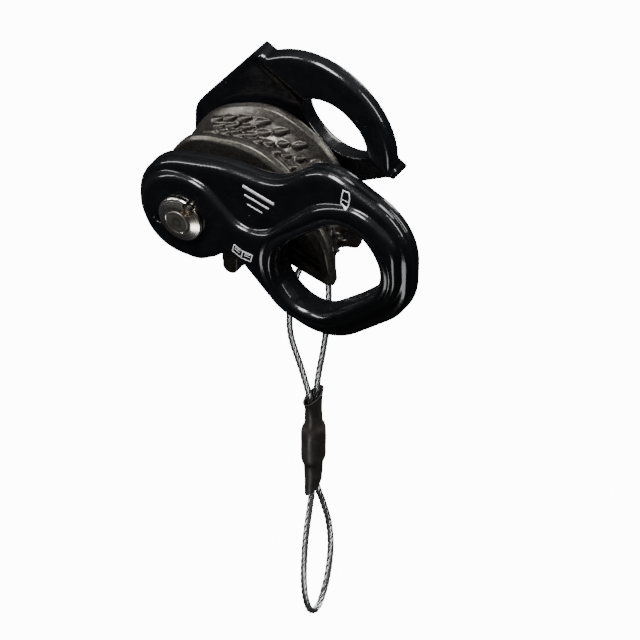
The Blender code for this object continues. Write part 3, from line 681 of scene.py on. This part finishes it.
def build_wire_rope(material):
    route = smooth_route(cable_route(), ROUTE_STEP)
    shape = bmesh.new()
    side = Vector((1, 0, 0))
    rings = []
    for k, here in enumerate(route):
        ahead = (route[min(k + 1, len(route) - 1)] - route[max(k - 1, 0)]).normalized()
        side = (side - ahead * side.dot(ahead)).normalized()
        across = ahead.cross(side)
        section = strand_outline(2 * math.pi * k * ROUTE_STEP / LAY_LENGTH)
        rings.append([shape.verts.new((AXLE + here + side * a + across * b) * MM) for a, b in section])
    count = len(rings[0])
    for low, high in zip(rings, rings[1:]):
        for i in range(count):
            j = (i + 1) % count
            shape.faces.new((low[i], low[j], high[j], high[i]))
    shape.faces.new(list(reversed(rings[0])))
    shape.faces.new(rings[-1])
    bmesh.ops.recalc_face_normals(shape, faces=shape.faces)
    mesh = as_mesh(shape, "wire_rope")
    rope = add_piece("wire_rope", mesh, "release", material, "release_cable")
    path = [tuple((AXLE + p) * MM) for p in route]
    length = sum((b - a).length for a, b in zip(route, route[1:])) * MM
    return rope, path, length


def oval_ring(shape, height, half_x, half_depth, lift, side, count=72):
    """One ring of the sleeve; lift raises its rear and drops its front, side raises its eye side."""
    verts = []
    for k in range(count):
        turn = 2 * math.pi * k / count
        x, depth = half_x * math.cos(turn), half_depth * math.sin(turn)
        wobble = 0.07 * noise.noise(Vector((x * 0.6, depth * 0.6, height * 0.35)))
        grow = 1 + wobble / max(half_x, 1.0)
        spot = place(SLEEVE_SPOT[0] + x * grow, SLEEVE_SPOT[1] + depth * grow,
                     height + lift * math.sin(turn) + side * math.cos(turn))
        verts.append(shape.verts.new(spot))
    return verts


def spread_sections(sections, spacing):
    """Sections on a smooth curve through the given ones, by height."""
    dense = []
    knots = [sections[0], *sections, sections[-1]]
    for p0, p1, p2, p3 in zip(knots, knots[1:], knots[2:], knots[3:]):
        steps = max(2, int(abs(p2[0] - p1[0]) / spacing))
        for k in range(steps):
            t = k / steps
            dense.append(tuple(spline(a, b, c, d, t) for a, b, c, d in zip(p0, p1, p2, p3)))
    dense.append(sections[-1])
    return dense


def build_sleeve(material):
    shape = bmesh.new()
    sections = spread_sections(SLEEVE, 0.45)
    bottom, top = sections[0][0], sections[-1][0]
    rings = []
    for inside in (False, True):
        wall = SLEEVE_WALL if inside else 0.0
        part = []
        for height, half_x, half_depth in sections:
            near_bottom = max(0.0, 1 - (height - bottom) / 6.0)
            near_top = max(0.0, 1 - (top - height) / 5.0)
            lift = 1.5 * near_bottom + 0.8 * near_top
            side = 0.9 * near_bottom + 0.4 * near_top
            low = height + 1.6 * near_bottom
            part.append(oval_ring(shape, low, half_x - wall, half_depth - wall, lift, side))
        rings.append(part)
    outer, inner = rings
    loop = outer + list(reversed(inner))
    count = len(outer[0])
    for k, low in enumerate(loop):
        high = loop[(k + 1) % len(loop)]
        for i in range(count):
            j = (i + 1) % count
            shape.faces.new((low[i], low[j], high[j], high[i]))
    bmesh.ops.recalc_face_normals(shape, faces=shape.faces)
    mesh = as_mesh(shape, "shrink_tube")
    mesh.set_sharp_from_angle(angle=math.radians(60))
    return add_piece("shrink_tube", mesh, "release", material, "shrink_sleeve")


def build_release_loop(materials):
    rope, path, length = build_wire_rope(materials["wire_rope"])
    sleeve = build_sleeve(materials["heat_shrink"])


# The printed marks: plain strokes of white ink laid on the plate.

INK_LIFT = 0.02
INK_FILM = 0.05
MARK_LEAN = -12.0
TAG_LEAN = -8.0


def ink_stroke(shape, tree, points, width, step=0.35, closed=False):
    """A ribbon of ink along points seen from the front, dropped onto the plate."""
    line = [Vector(p) for p in points]
    if closed:
        line.append(line[0])
    dense = []
    for here, there in zip(line, line[1:]):
        pieces = max(1, int((there - here).length / step))
        dense += [here.lerp(there, k / pieces) for k in range(pieces)]
    dense.append(line[-1])
    rows = []
    for k, here in enumerate(dense):
        before, after = dense[max(k - 1, 0)], dense[min(k + 1, len(dense) - 1)]
        if closed and k in (0, len(dense) - 1):
            before, after = dense[-2], dense[1]
        ahead = (after - before).normalized()
        across = Vector((-ahead.y, ahead.x))
        row = []
        for share in (-0.5, 0.0, 0.5):
            spot = here + across * width * share
            hit = tree.ray_cast(place(spot.x, -10.0, spot.y), Vector((0, 1, 0)))
            if hit[0] is None:
                return
            row.append(shape.verts.new(hit[0] + hit[1] * INK_LIFT * MM))
        rows.append(row)
    for low, high in zip(rows, rows[1:]):
        for i in range(2):
            shape.faces.new((low[i], low[i + 1], high[i + 1], high[i]))


def build_marks(plate_mesh, material):
    tree = BVHTree.FromPolygons([v.co for v in plate_mesh.vertices],
                                [tuple(p.vertices) for p in plate_mesh.polygons])
    shape = bmesh.new()

    def local(origin, x, z, tilt):
        spot = turned(x, z, tilt)
        return (origin[0] + spot.x, origin[1] + spot.y)

    # Three bars, wide to narrow.
    bars = (20.4, 12.4)
    for row, (start, end, width) in enumerate([(-4.6, 4.6, 0.95), (-3.6, 3.6, 0.6), (-2.2, 2.2, 0.45)]):
        height = 2.6 - 2.4 * row
        ink_stroke(shape, tree, [local(bars, start, height, MARK_LEAN),
                                 local(bars, end, height, MARK_LEAN)], width)
    # A folded sheet with two lines on each half.
    sheet = (17.6, -3.6)
    outline = [(-2.7, -1.0), (-2.7, 1.3), (0.0, 0.8), (2.7, 1.3), (2.7, -1.0), (0.0, -1.5)]
    ink_stroke(shape, tree, [local(sheet, x, z, MARK_LEAN) for x, z in outline], 0.28, closed=True)
    ink_stroke(shape, tree, [local(sheet, 0.0, 0.8, MARK_LEAN), local(sheet, 0.0, -1.5, MARK_LEAN)], 0.25)
    for height in (0.55, -0.15):
        for side in (-1, 1):
            ink_stroke(shape, tree, [local(sheet, side * 0.6, height - 0.12, MARK_LEAN),
                                     local(sheet, side * 2.2, height + 0.26, MARK_LEAN)], 0.2)
    # A small tag outline beside the eye.
    tag = (46.2, 24.9)
    frame_mark = [(-1.1, -2.0), (1.1, -2.0), (1.1, 0.9), (0.5, 2.2), (-1.1, 2.2)]
    ink_stroke(shape, tree, [local(tag, x, z, TAG_LEAN) for x, z in frame_mark], 0.28, closed=True)
    ink_stroke(shape, tree, [local(tag, -1.1, -0.6, TAG_LEAN), local(tag, 1.1, -0.6, TAG_LEAN)], 0.25)
    mesh = bpy.data.meshes.new("ink_marks")
    shape.to_mesh(mesh)
    shape.free()
    marks = bpy.data.objects.new("ink_marks_work", mesh)
    bpy.context.scene.collection.objects.link(marks)
    thick = marks.modifiers.new("Film", "SOLIDIFY")
    thick.thickness = INK_FILM * MM
    thick.offset = 0.0
    done = applied(marks)
    bpy.data.objects.remove(marks)
    done.shade_smooth()
    add_piece("ink_marks", done, "frame", material)


def finish_cad_nodes(materials):
    """The carried-over pieces keep their solids and take the finished materials."""
    finishes = {
        "collar_pin": "nickelled_steel", "cam_stop_pin": "machined_steel", "crimp_ferrule": "nickelled_steel",
        "front_thrust_washer": "bronze", "rear_thrust_washer": "bronze", "cam_bush": "bronze",
        "shell_bush": "bronze", "cam_spring": "spring_steel",
    }
    for node, finish in finishes.items():
        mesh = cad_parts[node].data
        mesh.materials.clear()
        mesh.materials.append(materials[finish])


def main():
    build_camera()
    build_stage()
    materials = {
        "coated_alloy": coated_alloy(), "cast_steel": cast_steel(), "nickelled_steel": nickelled_steel(),
        "machined_steel": machined_steel(), "bronze": bronze(), "spring_steel": spring_steel(),
        "wire_rope": wire_rope_steel(), "heat_shrink": heat_shrink(), "white_ink": white_ink(),
    }
    build_release_loop(materials)
    plate = build_forgings(materials)
    build_axle_ends(materials)
    build_marks(plate, materials["white_ink"])
    finish_cad_nodes(materials)


main()
